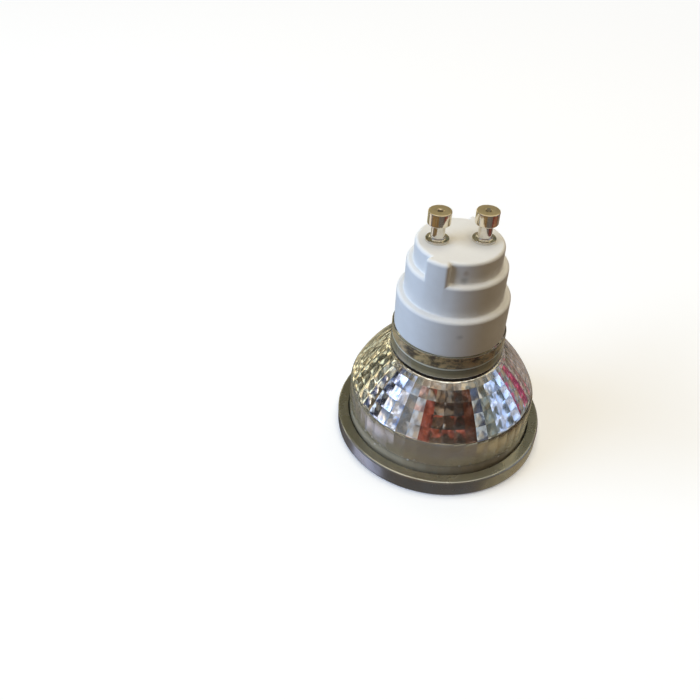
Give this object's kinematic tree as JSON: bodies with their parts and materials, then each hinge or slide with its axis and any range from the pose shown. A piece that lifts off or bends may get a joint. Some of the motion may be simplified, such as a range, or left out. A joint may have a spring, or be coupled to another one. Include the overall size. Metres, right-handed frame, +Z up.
{
  "type": "metal halide reflector lamp",
  "caption": "Metal halide reflector lamp: faceted glass bowl, clear lens clamped by a metal ring, stepped ceramic cap with keying lugs and headed twist-lock contact pins.",
  "frame": {"origin": "centre of the trim ring's front face, which the lamp stands on", "axes": "+Z up the lamp's axis from the ring to the contact pins, +X along the line through both pins"},
  "size_m": [0.0508, 0.0508, 0.0608],
  "materials": {
    "ring_metal": "spun, bright satin",
    "lens_glass": "clear, polished",
    "mirrored_glass": "clear pressed glass over bright mirror facets",
    "cap_ceramic": "matt white, fine grained",
    "cement": "rough, off-white",
    "pin_metal": "nickel plated, bright turned",
    "lead_metal": "drawn wire",
    "quartz": "clear, fire polished",
    "foil_metal": "rolled foil",
    "arc_ceramic": "translucent, fine grained",
    "electrode_metal": "ground",
    "frit": "glassy",
    "getter_metal": "dull grey"
  },
  "bodies": {
    "root": {"trim_ring": "ring_metal", "front_lens": "lens_glass", "reflector": "mirrored_glass", "ceramic_cap": "cap_ceramic", "cap_cement": "cement", "burner_cement": "cement", "contact_pin_left": "pin_metal", "contact_pin_right": "pin_metal", "lead_wire_left": "lead_metal", "lead_wire_right": "lead_metal", "quartz_jacket": "quartz", "foil_left": "foil_metal", "foil_right": "foil_metal", "return_wire": "lead_metal", "short_lead": "lead_metal", "arc_tube": "arc_ceramic", "front_electrode": "electrode_metal", "rear_electrode": "electrode_metal", "front_frit_seal": "frit", "rear_frit_seal": "frit", "getter": "getter_metal"}
  },
  "joints": []
}
